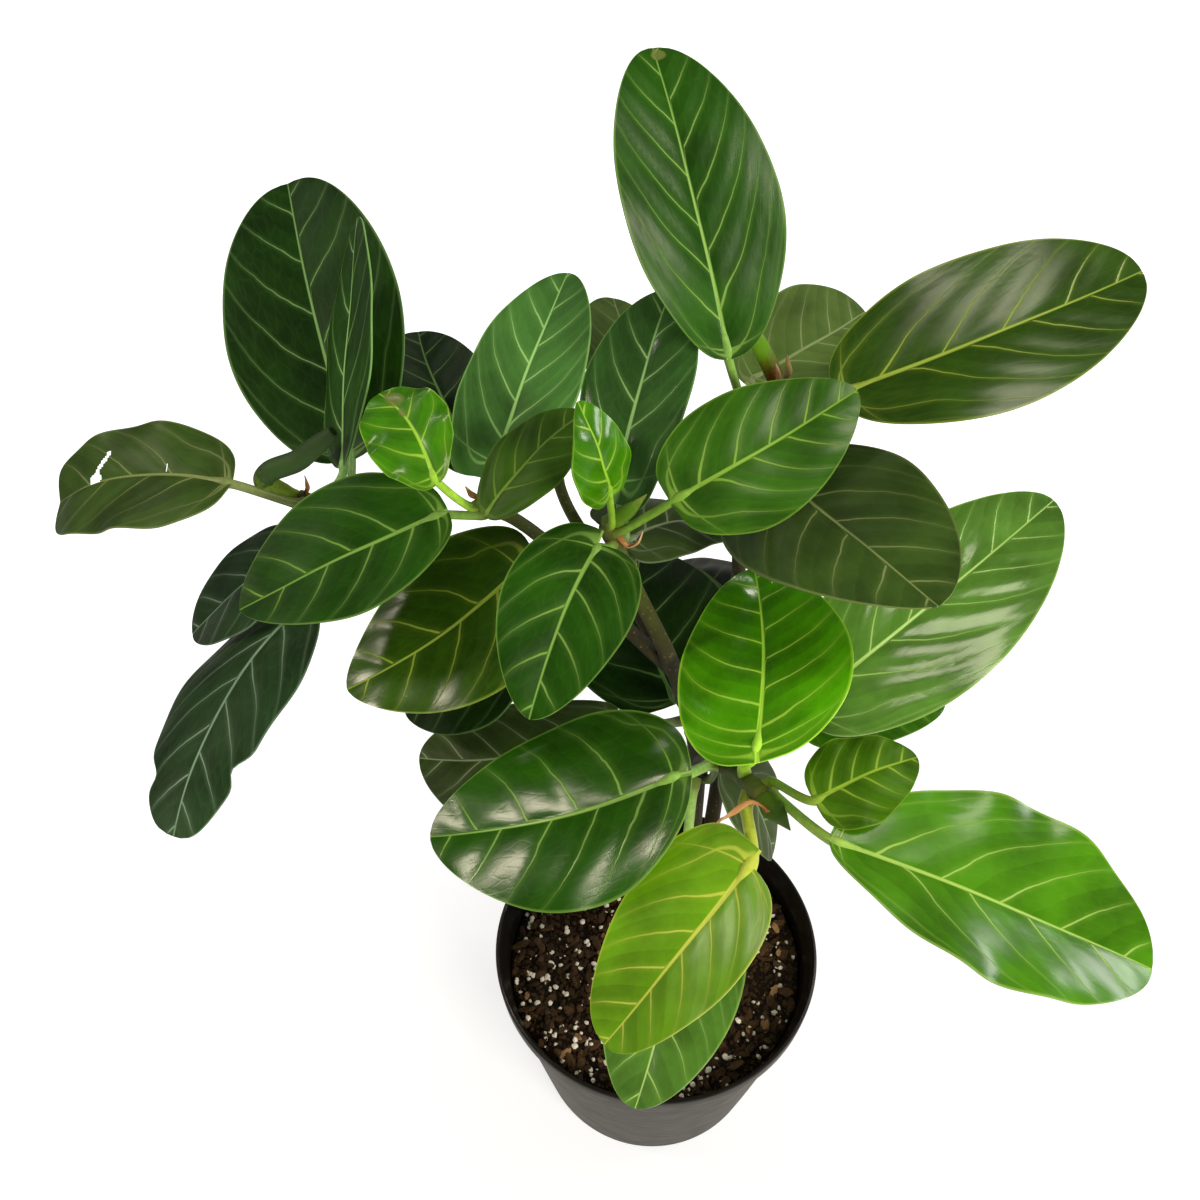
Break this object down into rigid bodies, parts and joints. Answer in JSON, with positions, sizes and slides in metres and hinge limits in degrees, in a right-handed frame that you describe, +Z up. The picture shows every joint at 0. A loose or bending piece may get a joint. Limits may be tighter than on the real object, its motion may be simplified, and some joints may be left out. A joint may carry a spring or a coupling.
{
  "type": "potted ficus",
  "caption": "Potted ficus with broad oval leaves on branching stems, in a round thin-walled nursery pot filled with potting mix.",
  "frame": {"origin": "centre of the pot's underside, on the surface that it stands on", "axes": "+Z up, +X to the right and +Y away from the viewer; the plant leans towards -X and +Y"},
  "size_m": [0.466, 0.3744, 0.4904],
  "materials": {
    "black_plastic": "satin, thin moulded plastic",
    "potting_mix": "rough and crumbly, with bark chips and perlite",
    "stem_bark": "dull green-brown bark",
    "leaf_green": "glossy, with pale veins",
    "bud_green": "soft satin",
    "dried_stipule": "dry and papery"
  },
  "bodies": {
    "root": {"back_bud": "bud_green", "back_dried_stipule": "dried_stipule", "back_leaf_broad": "leaf_green", "back_leaf_grey": "leaf_green", "back_leaf_low": "leaf_green", "back_leaf_right": "leaf_green", "back_leaf_top": "leaf_green", "back_rolled_leaf": "bud_green", "back_stem": "stem_bark", "centre_bud": "bud_green", "centre_dried_stipule": "dried_stipule", "centre_leaf_back": "leaf_green", "centre_leaf_behind": "leaf_green", "centre_leaf_dark": "leaf_green", "centre_leaf_front": "leaf_green", "centre_leaf_large_right": "leaf_green", "centre_leaf_low_left": "leaf_green", "centre_leaf_low_right": "leaf_green", "centre_leaf_lowest": "leaf_green", "centre_leaf_right": "leaf_green", "centre_leaf_shaded": "leaf_green", "centre_leaf_small": "leaf_green", "centre_leaf_under": "leaf_green", "centre_stem": "stem_bark", "far_left_dried_stipule": "dried_stipule", "far_left_leaf_folded": "leaf_green", "far_left_leaf_long": "leaf_green", "far_left_leaf_shaded": "leaf_green", "far_left_leaf_tall": "leaf_green", "far_left_leaf_torn": "leaf_green", "far_left_rolled_leaf": "bud_green", "front_bud": "bud_green", "front_dried_stipule": "dried_stipule", "front_leaf_left": "leaf_green", "front_leaf_over_pot": "leaf_green", "front_leaf_right": "leaf_green", "front_leaf_upright": "leaf_green", "front_leaf_young": "leaf_green", "left_dried_stipule": "dried_stipule", "left_leaf_back": "leaf_green", "left_leaf_front": "leaf_green", "left_leaf_low": "leaf_green", "left_leaf_small": "leaf_green", "left_leaf_young": "leaf_green", "nursery_pot": "black_plastic", "potting_soil": "potting_mix", "rear_leaf_left": "leaf_green", "rear_leaf_middle": "leaf_green"}
  },
  "joints": []
}
